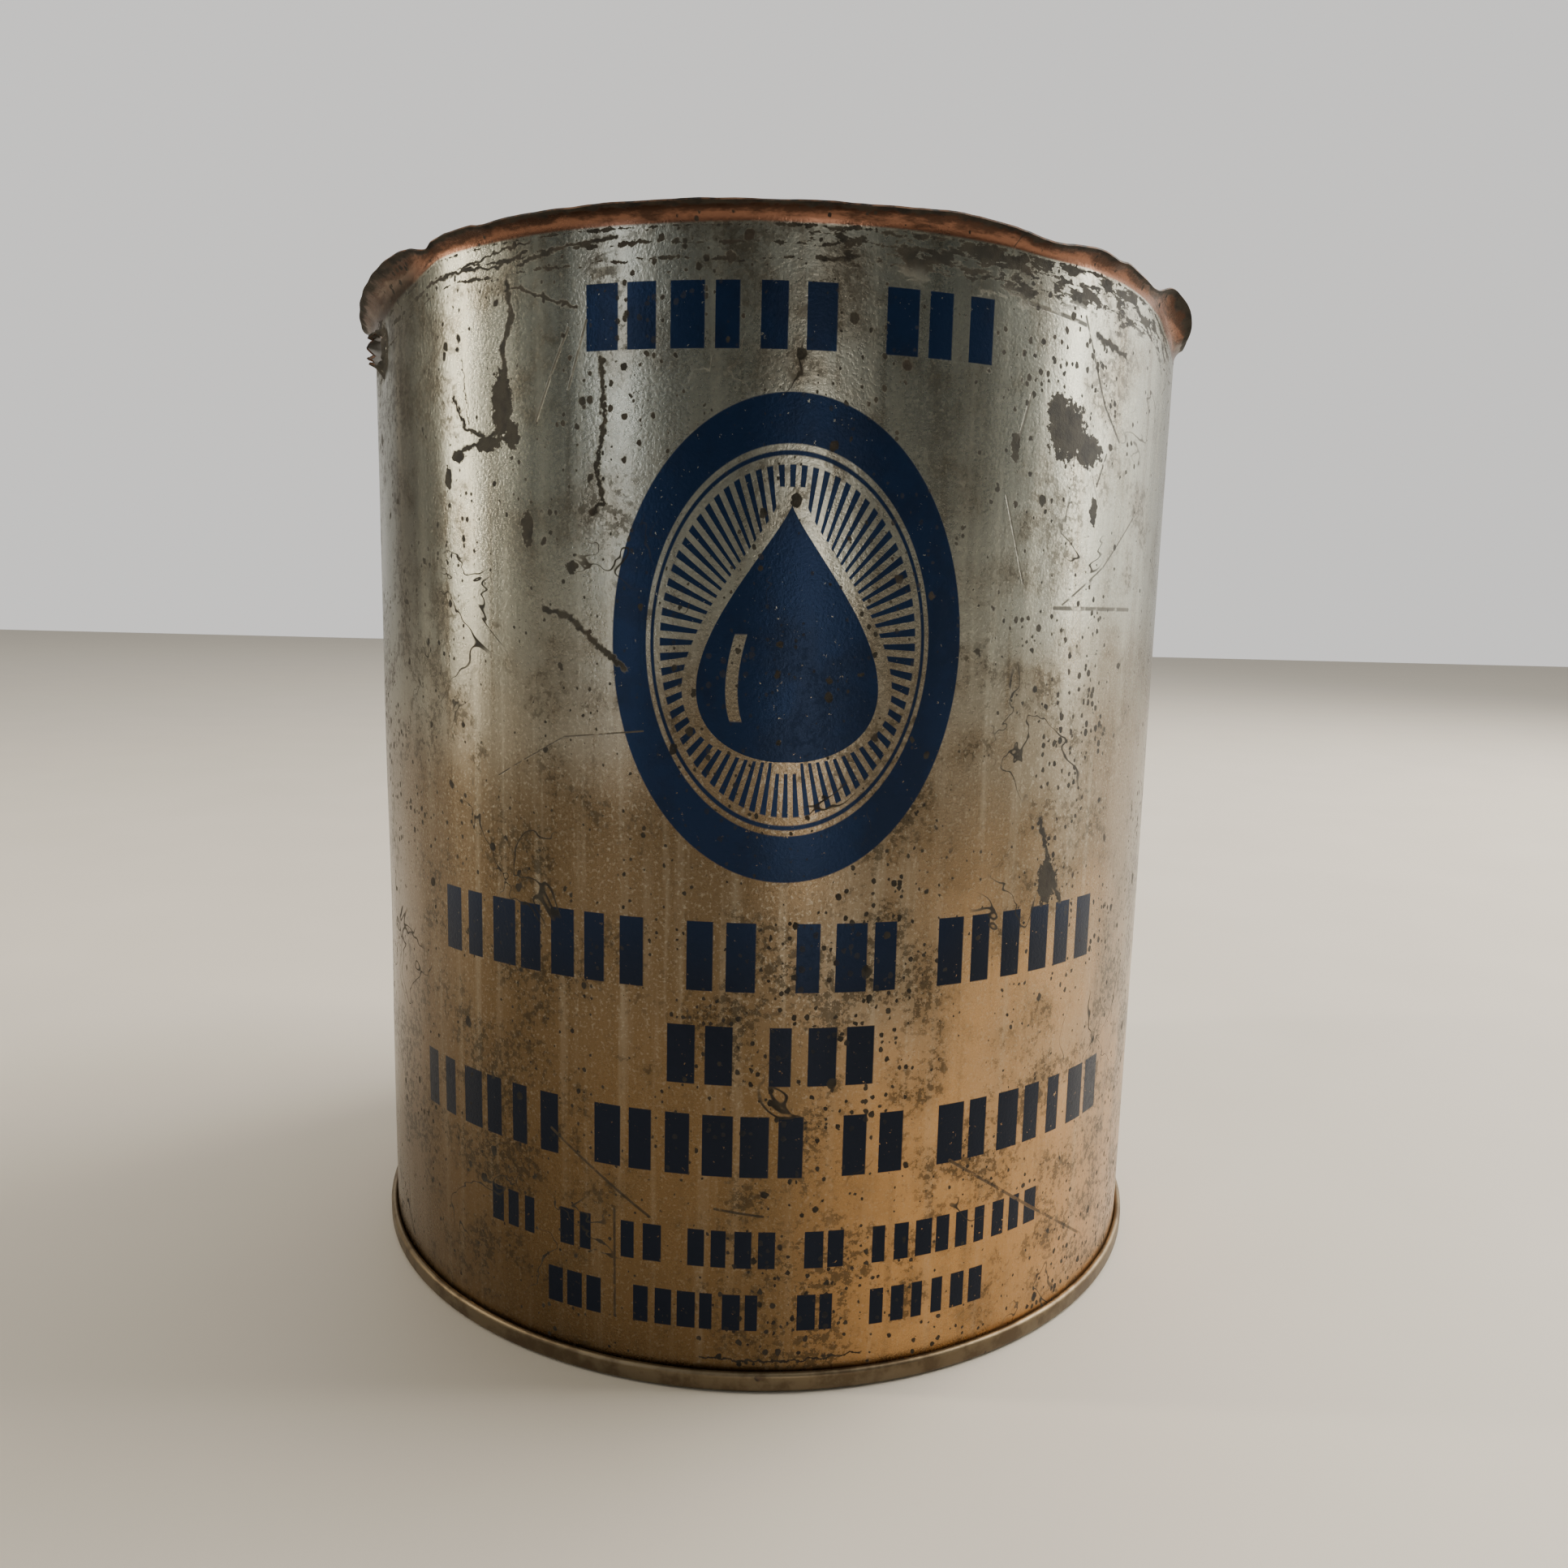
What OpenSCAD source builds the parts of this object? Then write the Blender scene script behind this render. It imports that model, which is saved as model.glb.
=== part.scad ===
// Open-topped round food can of tinplate, the large catering size. A rolled body with a locked and
// soldered side seam at the back stands on a countersunk end that is double seamed to it. The top
// end has been taken off, so the body's top flange is left as a bent, uneven lip with a flap on one
// side, a folded ear on the other, and a punched hole under the flap.
// Origin: centre of the bottom seam's resting ring. +Z is up and the printed front faces -Y.

/* [Body] */
// Outside radius of the body wall
wall_r = 77.2; // [60:0.1:90]
// Thickness of the body's tinplate
body_t = 0.3; // [0.25:0.01:0.32]
// Height from the ground to the top of the lip
can_h = 178; // [120:1:240]

/* [Lip] */
// Height of the flared lip above its crease
lip_h = 2.8; // [2.4:0.1:3.6]
// Reach of the lip beyond the wall's middle line
lip_out = 2; // [1.5:0.1:2.3]
// Height of the flap's bent stretch, from its crease to its edge
flap_h = 6.4; // [4:0.1:8]
// Reach of the flap
flap_out = 3.3; // [2.5:0.1:4]
// Drop of the flap's edge below the top of the lip
flap_drop = 1.8; // [1:0.1:3]
// Height of the ear's bent stretch, from its crease to its edge
ear_h = 4.4; // [3:0.1:6]
// Reach of the ear
ear_out = 3.6; // [2.5:0.1:4]
// Drop of the ear's edge below the top of the lip
ear_drop = 3; // [2:0.1:4]

/* [Punched hole] */
// Radius of the punched hole
punch_r = 2.5; // [1:0.1:4]
// Height of its centre above the ground
punch_z = 166; // [20:1:166]

/* [Bottom end] */
// Thickness of the end's tinplate
end_t = 0.32; // [0.26:0.01:0.34]
// Height of the end's sunken panel above the ground
panel_z = 4; // [3:0.1:6]
// Height of each pressed ring above the panel
ring_h = 0.9; // [0.4:0.1:1.5]
// Width of each pressed ring
ring_w = 5; // [3:0.5:7]
// Number of pressed rings
ring_n = 4; // [1:1:4]
// Distance between the middles of neighbouring rings
ring_gap = 8.5; // [8:0.5:10]

/* [Side seam] */
// Width of the folded lock along the inside of the wall
lock_w = 5.4; // [4:0.1:7]
// Thickness that the lock's folds add on the inside
lock_t = 0.8; // [0.6:0.05:0.9]
// Width of the solder line along the outside
solder_w = 4; // [3:0.1:5]
// Thickness of the solder line
solder_t = 0.14; // [0.1:0.01:0.2]

/* [Hidden] */
$fn = 96;
// Middle line of the body's sheet
body_r = wall_r - body_t / 2;

// Double seam, as radii of each layer's middle line and heights above the ground
hook_r = body_r + 0.85;
hook_z = 2.35;
body_bend_r = (hook_r - body_r) / 2;
body_bend_z = 1.075;
cover_r = body_r + 0.42;
cover_z = 1.15;
chuck_r = body_r - 0.35;
seaming_r = body_r + 1.39;
seam_bend_r = 0.5;
seam_flat_z = end_t / 2;
curl_r = (seaming_r - cover_r) / 2;
curl_z = 2.5;
panel_bend_r = 0.8;

// Ring of sealing compound between the end's seaming panel and the bend of the body hook
compound_r0 = body_r + 0.15;
compound_r1 = hook_r - 0.15;
compound_z0 = end_t + 0.01;
compound_t = 0.15;

// A bent stretch of the rim laps over the sound wall round it, and is a hair thicker there
lap_z = 1;
lap_a = 0.5;
lap_t = 0.02;
// Azimuths are turned from the front, -Y, towards +X
flap_az = [-75, -43];
ear_az = [57, 72];
punch_az = -62;
back_az = 180;
// Length of the cylinder that cuts the hole, from the axis to well outside the wall
punch_len = wall_r + 5;

// Outermost ring, inside the chuck wall by the width of the panel's flat edge
ring_inset = 8.7;
ring_r = chuck_r - ring_inset;
ring_steps = 8;

// Side seam ends, above the bottom seam and under the flap and ear
lock_z = [6, can_h - 12];
solder_z = [4, can_h - 3.4];
solder_gap = 0.02;

// Points of an arc about c, from angle a0 to a1, in n steps
function arc(c, r, a0, a1, n = 6) =
    [for (i = [0 : n])
        let (a = a0 + (a1 - a0) * i / n)
        [c[0] + r * cos(a), c[1] + r * sin(a)]];

// Unit normal on the left of the line from a to b
function left_of(a, b) =
    let (d = (b - a) / norm(b - a))
    [-d[1], d[0]];

// Mitred normal of the polyline p at its point i
function normal_at(p, i) =
    let (
        last = len(p) - 1,
        n0 = left_of(p[max(i - 1, 0)], p[max(i, 1)]),
        n1 = left_of(p[min(i, last - 1)], p[min(i + 1, last)])
    )
    (n0 + n1) / (1 + n0 * n1);

// Outline of a sheet of thickness t whose middle line is p
function sheet(p, t) =
    concat(
        [for (i = [0 : len(p) - 1]) p[i] + normal_at(p, i) * t / 2],
        [for (i = [len(p) - 1 : -1 : 0]) p[i] - normal_at(p, i) * t / 2]
    );

// Middle line of a flare that starts upright at height z, rises h and reaches out by w
function flare(z, h, w) =
    let (
        turn = 2 * atan2(w, h),
        r = h / sin(turn)
    )
    arc([body_r + r, z], r, 180, 180 - turn);

// Middle line of one pressed ring, from its inner foot to its outer foot
function ring_line(r) =
    [for (i = [0 : ring_steps])
        let (t = i / ring_steps)
        [r + (t - 0.5) * ring_w, panel_z + ring_h * (1 - cos(360 * t)) / 2]];

// Solid made by turning the profile of the object between two azimuths
module turned(az0, az1) {
    rotate([0, 0, az0 - 90])
        rotate_extrude(angle = az1 - az0)
            children();
}

// Middle line of the wall from height z, and of a flare of height h that ends drop below the top
function rim_line(z, h, out, drop) =
    concat([[body_r, z]], flare(can_h - drop - h, h, out));

// Bent stretch of the rim that takes the place of the sound lip between two azimuths
module bent_rim(az, h, out, drop) {
    turned(az[0] - lap_a, az[1] + lap_a)
        polygon(sheet(rim_line(can_h - drop - h - 2 * lap_z, h, out, drop), body_t + lap_t));
}

// Space of the sound wall and lip that a bent stretch takes the place of
module rim_gap(az, h, drop) {
    turned(az[0], az[1])
        translate([wall_r / 2, can_h - drop - h - lap_z])
            square([wall_r, can_h]);
}

// Sound body: hook at the bottom, straight wall and flared lip
module sound_body() {
    hook = concat([[hook_r, hook_z]], arc([body_r + body_bend_r, body_bend_z], body_bend_r, 0, -180));
    rotate_extrude()
        polygon(sheet(concat(hook, flare(can_h - lip_h, lip_h, lip_out)), body_t));
}

// Folded lock of the side seam, on the inside of the wall
module side_lock() {
    half_a = lock_w / wall_r * 180 / PI / 2;
    turned(back_az - half_a, back_az + half_a)
        translate([wall_r - body_t - lock_t, lock_z[0]])
            square([lock_t + body_t / 2, lock_z[1] - lock_z[0]]);
}

// Body as found: the sound body with its flap, ear, folded lock and punched hole
module body_shell() {
    color("darkkhaki")
        difference() {
            union() {
                difference() {
                    sound_body();
                    rim_gap(flap_az, flap_h, flap_drop);
                    rim_gap(ear_az, ear_h, ear_drop);
                }
                bent_rim(flap_az, flap_h, flap_out, flap_drop);
                bent_rim(ear_az, ear_h, ear_out, ear_drop);
                side_lock();
            }
            rotate([0, 0, punch_az])
                translate([0, 0, punch_z])
                    rotate([90, 0, 0])
                        cylinder(h = punch_len, r = punch_r);
        }
}

// Pressed end: sunken panel with rings, chuck wall, seaming wall, curl and cover hook
module bottom_end() {
    rings = [for (k = [ring_n - 1 : -1 : 0]) each ring_line(ring_r - k * ring_gap)];
    middle = concat(
        [[0, panel_z]],
        rings,
        arc([chuck_r - panel_bend_r, panel_z - panel_bend_r], panel_bend_r, 90, 0),
        arc([chuck_r + seam_bend_r, seam_flat_z + seam_bend_r], seam_bend_r, 180, 270),
        arc([seaming_r - seam_bend_r, seam_flat_z + seam_bend_r], seam_bend_r, 270, 360),
        arc([seaming_r - curl_r, curl_z], curl_r, 0, 180),
        [[cover_r, cover_z]]
    );
    color("tan")
        rotate_extrude()
            polygon(sheet(middle, end_t));
}

// Flowed-in ring of sealing compound inside the double seam
module seam_compound() {
    color("dimgray")
        rotate_extrude()
            translate([compound_r0, compound_z0])
                square([compound_r1 - compound_r0, compound_t]);
}

// Line of solder wiped along the outside of the side seam
module side_seam_solder() {
    half_a = solder_w / wall_r * 180 / PI / 2;
    color("silver")
        turned(back_az - half_a, back_az + half_a)
            translate([wall_r + solder_gap, solder_z[0]])
                square([solder_t, solder_z[1] - solder_z[0]]);
}

body_shell();
bottom_end();
seam_compound();
side_seam_solder();
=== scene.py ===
"""Looks of an open-topped tinplate food can: a wavy torn lip, rust pits, scratches and a worn navy print.

Lengths are in metres unless a name ends in _mm. Azimuths are in degrees from the front, -Y, towards +X.
"""
import math

import bmesh
import bpy
from mathutils import Matrix, Vector, noise


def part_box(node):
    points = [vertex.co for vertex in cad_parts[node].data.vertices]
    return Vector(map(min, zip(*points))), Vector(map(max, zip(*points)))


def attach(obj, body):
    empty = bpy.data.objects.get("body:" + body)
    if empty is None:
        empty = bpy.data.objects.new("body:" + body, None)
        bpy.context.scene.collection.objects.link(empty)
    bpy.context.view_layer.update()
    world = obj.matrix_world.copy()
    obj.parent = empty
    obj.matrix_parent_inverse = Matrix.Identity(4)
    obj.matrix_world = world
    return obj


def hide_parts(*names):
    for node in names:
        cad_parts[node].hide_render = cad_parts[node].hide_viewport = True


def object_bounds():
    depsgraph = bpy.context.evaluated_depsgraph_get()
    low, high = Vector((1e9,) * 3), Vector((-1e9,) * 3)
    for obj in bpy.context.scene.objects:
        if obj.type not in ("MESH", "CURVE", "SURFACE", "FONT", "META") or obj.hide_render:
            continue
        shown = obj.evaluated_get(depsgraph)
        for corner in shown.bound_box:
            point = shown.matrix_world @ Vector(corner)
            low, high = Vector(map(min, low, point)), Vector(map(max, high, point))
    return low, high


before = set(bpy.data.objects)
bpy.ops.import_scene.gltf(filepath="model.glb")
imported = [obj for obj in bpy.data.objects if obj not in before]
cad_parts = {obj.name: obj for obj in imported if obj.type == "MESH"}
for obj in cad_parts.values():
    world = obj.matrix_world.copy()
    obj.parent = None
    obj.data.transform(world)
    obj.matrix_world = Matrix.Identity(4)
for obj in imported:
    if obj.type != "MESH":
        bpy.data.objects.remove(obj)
CAD_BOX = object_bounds()
MM = 0.001

# -------------------- sizes, from the CAD frame

SOLDER_LOW, SOLDER_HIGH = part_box("side_seam_solder")
BODY_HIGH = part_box("body_shell")[1]
END_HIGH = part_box("bottom_end")[1]

SOLDER_THICK = 0.14 * MM
SOLDER_GAP = 0.02 * MM
BODY_THICK = 0.3 * MM
END_THICK = 0.32 * MM
WALL_R = SOLDER_HIGH.y - SOLDER_THICK - SOLDER_GAP
WALL_R_MM = WALL_R / MM
TOP_Z = BODY_HIGH.z
RIM_Z = TOP_Z - 0.40 * MM
BOX_REACH = BODY_HIGH.x - 0.15 * MM
SEAM_R = END_HIGH.x - 0.05 * MM
PANEL_Z = END_HIGH.z - 1.06 * MM


def smooth(t):
    """Smooth step from 0 at t = 0 to 1 at t = 1."""
    t = min(max(t, 0.0), 1.0)
    return t * t * (3.0 - 2.0 * t)


def bump(x, width):
    """Bell of height 1 at x = 0."""
    return math.exp(-(x / width) ** 2)


def turn_gap(a, b):
    """Signed difference of two azimuths, in degrees."""
    return (a - b + 180.0) % 360.0 - 180.0


def at(az, r, z):
    """Point at an azimuth in degrees, a radius and a height."""
    a = math.radians(az)
    return Vector((r * math.sin(a), -r * math.cos(a), z))


def inside_box(az, r):
    """A radius cut back to the square box of the CAD model."""
    a = math.radians(az)
    return min(r, BOX_REACH / max(abs(math.sin(a)), abs(math.cos(a))))


def round_noise(az, z_mm, per_turn, per_mm, seed):
    """Smooth noise from -1 to 1 that closes on itself round the can."""
    a = math.radians(az)
    r = per_turn / (2.0 * math.pi)
    return noise.noise(Vector((r * math.sin(a) + seed, r * math.cos(a) - seed, z_mm * per_mm + seed)))


# -------------------- the rim's course

# Azimuth, then crease height, edge height and edge reach in mm, heights counted from the rim's top
RIM = [
    (-180, -2.9, -0.5, 1.8), (-160, -2.8, -0.7, 1.9), (-140, -3.1, -0.3, 1.7), (-120, -2.9, -0.9, 1.9),
    (-102, -3.2, -0.8, 1.6), (-88, -4.0, -1.3, 1.5), (-80, -6.4, -3.4, 1.5), (-75, -8.6, -5.9, 1.6),
    (-70, -9.4, -6.6, 2.2), (-65, -9.2, -5.2, 2.9), (-60, -8.4, -3.7, 3.3), (-55, -7.4, -2.3, 3.2),
    (-50, -6.0, -1.3, 2.9), (-46, -4.6, -1.1, 2.3), (-43.6, -3.6, -1.5, 1.3), (-42, -3.2, -1.0, 1.5),
    (-39, -3.0, -0.6, 1.8), (-30, -2.9, -0.5, 1.9), (-15, -2.9, -0.4, 1.9), (0, -2.8, -0.4, 1.9),
    (12, -2.8, -0.4, 1.9), (16.5, -2.8, -0.2, 1.8), (19, -2.9, 0.0, 1.7), (22, -2.9, -0.3, 1.9),
    (27, -3.0, -0.9, 1.9), (31.5, -3.2, -1.4, 1.7), (35, -3.2, -0.8, 1.7), (39, -3.1, -0.5, 2.0),
    (44, -3.2, -0.8, 1.9), (49, -3.6, -1.5, 1.4), (54, -4.6, -1.7, 0.9), (57.2, -5.8, -0.5, 1.9),
    (60, -7.2, -1.9, 3.2), (63, -8.4, -4.2, 3.6), (66, -9.2, -6.4, 2.4), (71, -8.6, -6.4, 1.4),
    (78, -6.0, -3.4, 1.4), (88, -3.6, -1.2, 1.7), (105, -2.9, -0.6, 1.9), (130, -3.1, -0.9, 1.8),
    (155, -2.8, -0.4, 1.9),
]


def rim_at(az):
    """Crease height, edge height and edge reach in metres, by a Catmull-Rom curve through RIM."""
    az = (az + 180.0) % 360.0 - 180.0
    n = len(RIM)
    i = max(k for k in range(n) if RIM[k][0] <= az)
    before, here, after, beyond = (RIM[(i + k) % n] for k in (-1, 0, 1, 2))
    span = (after[0] - here[0]) % 360
    t = (az - here[0]) / span
    before_span = (here[0] - before[0]) % 360
    beyond_span = (beyond[0] - after[0]) % 360
    values = []
    for k in (1, 2, 3):
        m0 = (after[k] - before[k]) / (span + before_span) * span
        m1 = (beyond[k] - here[k]) / (span + beyond_span) * span
        h = ((2 * t - 3) * t * t + 1) * here[k] + ((t - 2) * t + 1) * t * m0
        h += (3 - 2 * t) * t * t * after[k] + (t - 1) * t * t * m1
        values.append(h)
    calm = 1.0 - 0.85 * smooth((values[2] - 1.9) / 0.7)
    ragged = calm * (0.08 * round_noise(az, 0, 150, 0, 3.1) + 0.04 * round_noise(az, 0, 420, 0, 8.7))
    nick = calm * max(0.0, round_noise(az, 0, 95, 0, 21.4) - 0.42)
    crease = RIM_Z + (values[0] + 0.12 * round_noise(az, 0, 40, 0, 5.5)) * MM
    edge = RIM_Z + min(0.0, values[1] + ragged - 1.1 * nick) * MM
    fold_turn = math.radians(az * 96.0 + 40.0 * round_noise(az, 0, 50, 0, 9.0))
    folds = 0.07 * (1.0 - calm) * math.sin(fold_turn)
    reach = (values[2] + 0.8 * ragged + folds) * MM
    return crease, edge, reach


# -------------------- dents and ripples of the wall

# Azimuth, height in mm, width round the wall in mm, height of the dent in mm, depth in mm
DENTS = [
    (43, 160, 9, 14, -0.55), (50, 152, 8, 12, 0.30), (36, 127, 12, 10, -0.18), (-33, 150, 9, 12, -0.28),
    (-52, 158, 8, 10, 0.22), (20, 92, 20, 26, -0.25), (-22, 118, 12, 9, -0.15), (-66, 60, 16, 22, -0.35),
    (95, 110, 18, 20, -0.45), (128, 60, 14, 24, -0.40), (150, 150, 16, 14, -0.35),
    (-150, 90, 22, 18, -0.50), (-118, 140, 14, 16, -0.35), (-100, 40, 18, 14, -0.30),
    (170, 30, 14, 12, -0.25), (-36, 24, 18, 10, -0.15),
]


def wall_offset(az, z):
    """How far the wall stands out of its true cylinder, in metres."""
    z_mm = z / MM
    drift = 9.0 * round_noise(az, z_mm, 2.0, 0.006, 11.0)
    ripple = 0.030 * math.cos(math.radians((az + drift) * 17))
    ripple += 0.022 * math.cos(math.radians((az - drift) * 29 + 40))
    ripple += 0.012 * math.cos(math.radians((az + 0.5 * drift) * 53 + 90))
    soft = 0.10 * round_noise(az, z_mm, 9, 0.012, 2.0) + 0.045 * round_noise(az, z_mm, 26, 0.035, 7.0)
    dents = 0.0
    for d_az, d_z, wide, high, deep in DENTS:
        across = math.radians(turn_gap(az, d_az)) * WALL_R_MM
        dents += deep * bump(across, wide) * bump(z_mm - d_z, high)
    # A dent can't reach into the stiff seam, and the free rim waves a little more than the wall
    stiff = smooth((z_mm - 3.0) / 22.0)
    loose = 0.16 * smooth((z_mm - 145.0) / 30.0) * round_noise(az, z_mm, 12, 0.01, 15.0)
    return (stiff * (ripple + soft + dents) + loose) * MM


# -------------------- the punched hole

HOLE_AZ, HOLE_Z = -62.0, 165.6 * MM
# Half width of the hole, its height over its width, and how far off the grid is bent and the metal torn
HOLE_W_MM, HOLE_TALL = 2.1, 1.35
HOLE_FLOW_MM = 5.0
BURR_REACH_MM = 9.0


def hole_place(az, z):
    """Distances from the hole in mm, square and round, with its tall axis squeezed, and the offsets."""
    dx = math.radians(turn_gap(az, HOLE_AZ)) * WALL_R_MM
    dz = (z - HOLE_Z) / MM / HOLE_TALL
    return max(abs(dx), abs(dz)), math.hypot(dx, dz), dx, dz


def flow_round_hole(az, z):
    """Moves a grid point so that the square gap in the grid becomes the round hole."""
    square, far, dx, dz = hole_place(az, z)
    if square >= HOLE_FLOW_MM or far < 1e-6:
        return az, z
    pull = min(1.0, (HOLE_FLOW_MM - square) / (HOLE_FLOW_MM - HOLE_W_MM))
    scale = 1.0 - pull + pull * square / far
    torn = 1.0 + 0.12 * pull * noise.noise(Vector((dx * 1.7, dz * 1.7, 4.0)))
    scale *= torn
    return (HOLE_AZ + math.degrees(dx * scale / WALL_R_MM), HOLE_Z + dz * scale * HOLE_TALL * MM)


def burr(az, z):
    """Height of the torn edge that stands out round the hole, in metres."""
    far, dx, dz = hole_place(az, z)[1:]
    lift = bump(max(far - HOLE_W_MM, 0.0), 0.8)
    behind = smooth(0.5 - 0.5 * dx / max(far, 0.1))
    uneven = 0.80 + 0.6 * noise.noise(Vector((dx * 1.1, dz * 1.1, 9.0)))
    return ((0.5 + 1.9 * behind) * lift * uneven - 0.35 * bump(far - HOLE_W_MM - 1.6, 1.4)) * MM


# -------------------- meshes

SHARP_ANGLE = math.radians(38)


def make_object(name, mesh, materials):
    """Links a smooth-shaded object that wears the materials in order."""
    piece = bpy.data.objects.new(name, mesh)
    bpy.context.scene.collection.objects.link(piece)
    for material in materials:
        mesh.materials.append(material)
    mesh.shade_smooth()
    mesh.set_sharp_from_angle(angle=SHARP_ANGLE)
    return piece


def closed_grid(name, columns, rows, point, keep_face=None):
    """Mesh of a grid that closes on itself round the can; point(column, row) gives each vertex."""
    mesh = bpy.data.meshes.new(name)
    verts = [point(c, r) for r in rows for c in columns]
    n = len(columns)
    faces = []
    for j in range(len(rows) - 1):
        for i in range(n):
            if keep_face is None or keep_face(i, j):
                after = (i + 1) % n
                faces.append((j * n + i, j * n + after, (j + 1) * n + after, (j + 1) * n + i))
    mesh.from_pydata(verts, [], faces)
    return mesh


def edit_mesh(mesh, change):
    """Opens a mesh for one change."""
    work = bmesh.new()
    work.from_mesh(mesh)
    change(work)
    work.to_mesh(mesh)
    work.free()


def drop_loose(work):
    """Removes the vertices that no face uses."""
    bmesh.ops.delete(work, geom=[v for v in work.verts if not v.link_faces], context="VERTS")


def face_outwards(work):
    """Makes the faces agree; those of a closed mesh face outwards."""
    bmesh.ops.recalc_face_normals(work, faces=work.faces)


def thicken(piece, thickness, offset, split_materials):
    """Gives a sheet its thickness."""
    solid = piece.modifiers.new("plate", "SOLIDIFY")
    solid.thickness = thickness
    solid.offset = offset
    solid.use_even_offset = True
    solid.use_rim = True
    if split_materials:
        solid.material_offset = 1
        solid.material_offset_rim = 2
    apply_modifiers(piece)


def apply_modifiers(piece):
    """Replaces a piece's mesh with its evaluated one."""
    graph = bpy.context.evaluated_depsgraph_get()
    graph.update()
    final = piece.evaluated_get(graph)
    mesh = bpy.data.meshes.new_from_object(final, preserve_all_data_layers=True, depsgraph=graph)
    old = piece.data
    piece.modifiers.clear()
    piece.data = mesh
    bpy.data.meshes.remove(old)
    mesh.set_sharp_from_angle(angle=SHARP_ANGLE)


def arc(centre, radius, start, end, steps):
    """Points (radius, height) of an arc, with angles in degrees."""
    points = []
    for k in range(steps + 1):
        a = math.radians(start + (end - start) * k / steps)
        points.append((centre[0] + radius * math.cos(a), centre[1] + radius * math.sin(a)))
    return points


# -------------------- the body

UPPER_Z = 160.0 * MM
WALL_STEP = 3.5 * MM
UPPER_ROWS = 24
LIP_ROWS = 9
TORN_STRETCHES = ((-78.0, -40.0), (53.0, 76.0))
SEAM_AZ = 180.0
SEAM_HALF_MM = 2.6
LOCK_LOW, LOCK_HIGH = 4.5 * MM, 167.5 * MM
LOCK_TAPER = 6.0 * MM
LOCK_EDGE, LOCK_FOLD = 0.12 * MM, 0.66 * MM
HOOK_OUT = 0.55 * MM
HOOK_BEND = 0.275 * MM
HOOK_BEND_Z = 1.075 * MM
HOOK_TOP_Z = 2.35 * MM


def body_columns():
    """Azimuths of the columns, closer together where the rim is torn."""
    columns = []
    az = -180.0
    while az < 179.7:
        columns.append(az)
        az += 0.3 if any(low <= az < high for low, high in TORN_STRETCHES) else 0.9
    return columns


def body_rows():
    """Rows as (kind, place): the hook, the wall, the wall below the rim, and the lip."""
    bend = arc((WALL_R + HOOK_BEND, HOOK_BEND_Z), HOOK_BEND, 0, -180, 5)
    rows = [("hook", (WALL_R + HOOK_OUT, HOOK_TOP_Z))] + [("hook", p) for p in bend]
    count = round((UPPER_Z - HOOK_TOP_Z) / WALL_STEP)
    rows += [("wall", HOOK_TOP_Z + (UPPER_Z - HOOK_TOP_Z) * k / count) for k in range(count)]
    rows += [("upper", k / UPPER_ROWS) for k in range(UPPER_ROWS)]
    rows += [("lip", k / LIP_ROWS) for k in range(LIP_ROWS + 1)]
    return rows


def seam_step(az):
    """Slight rise of the wall over the folded lock, in metres."""
    across = abs(math.radians(turn_gap(az, SEAM_AZ))) * WALL_R_MM
    return 0.13 * MM * smooth((SEAM_HALF_MM + 0.5 - across) / 0.8)


def wall_point(az, z):
    """Point of the wall's outside."""
    return at(az, WALL_R + wall_offset(az, z) + seam_step(az), z)


def lip_point(az, t):
    """Point of the lip, t from 0 at the crease to 1 at the raw edge."""
    crease, edge, reach = rim_at(az)
    rise = edge - crease
    knee = crease + 0.66 * rise + 0.10 * reach
    z = (1 - t) ** 2 * crease + 2 * t * (1 - t) * knee + t * t * edge
    r = WALL_R + wall_offset(az, crease) + seam_step(az) + t * t * reach
    return at(az, inside_box(az, r), z)


def make_body():
    """Wall, lip and bottom hook as one sheet, with the places that its material needs as attributes."""
    columns = body_columns()
    rows = body_rows()
    creases = {az: rim_at(az)[0] for az in columns}
    lip_share = []
    around_mm = []
    height_mm = []
    crease_mm = []
    boxes = {}

    def point(az, row):
        kind, place = row
        moved_az = az
        if kind == "hook":
            spot = at(az, place[0], place[1])
        elif kind == "lip":
            spot = lip_point(az, place)
        else:
            z = place if kind == "wall" else UPPER_Z + (creases[az] - UPPER_Z) * place
            boxes[(az, row)] = hole_place(az, z)[0]
            lift = burr(az, z) if boxes[(az, row)] < BURR_REACH_MM else 0.0
            moved_az, moved_z = flow_round_hole(az, z)
            spot = wall_point(moved_az, moved_z) + at(moved_az, lift, 0.0)
        lip_share.append(place if kind == "lip" else 0.0)
        around_mm.append(math.radians(moved_az) * WALL_R_MM)
        height_mm.append(spot.z / MM)
        crease_mm.append((spot.z - creases[az]) / MM)
        return spot

    def keep(i, j):
        corners = [(columns[(i + a) % len(columns)], rows[j + b]) for a in (0, 1) for b in (0, 1)]
        return any(boxes.get(c, 99.0) > HOLE_W_MM for c in corners)

    mesh = closed_grid("body_shell_sheet", columns, rows, point, keep)
    numbers = {"lip_share": lip_share, "around_mm": around_mm, "height_mm": height_mm}
    numbers["crease_mm"] = crease_mm
    for name, values in numbers.items():
        mesh.attributes.new(name, "FLOAT", "POINT").data.foreach_set("value", values)
    flat = [number for spot in zip(around_mm, height_mm, crease_mm) for number in spot]
    mesh.attributes.new("flat_mm", "FLOAT_VECTOR", "POINT").data.foreach_set("vector", flat)
    edit_mesh(mesh, drop_loose)
    piece = make_object("tinplate_body", mesh, [tin_outside(), tin_inside(), rusty_edge()])
    thicken(piece, BODY_THICK, -1.0, True)
    return piece


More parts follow.
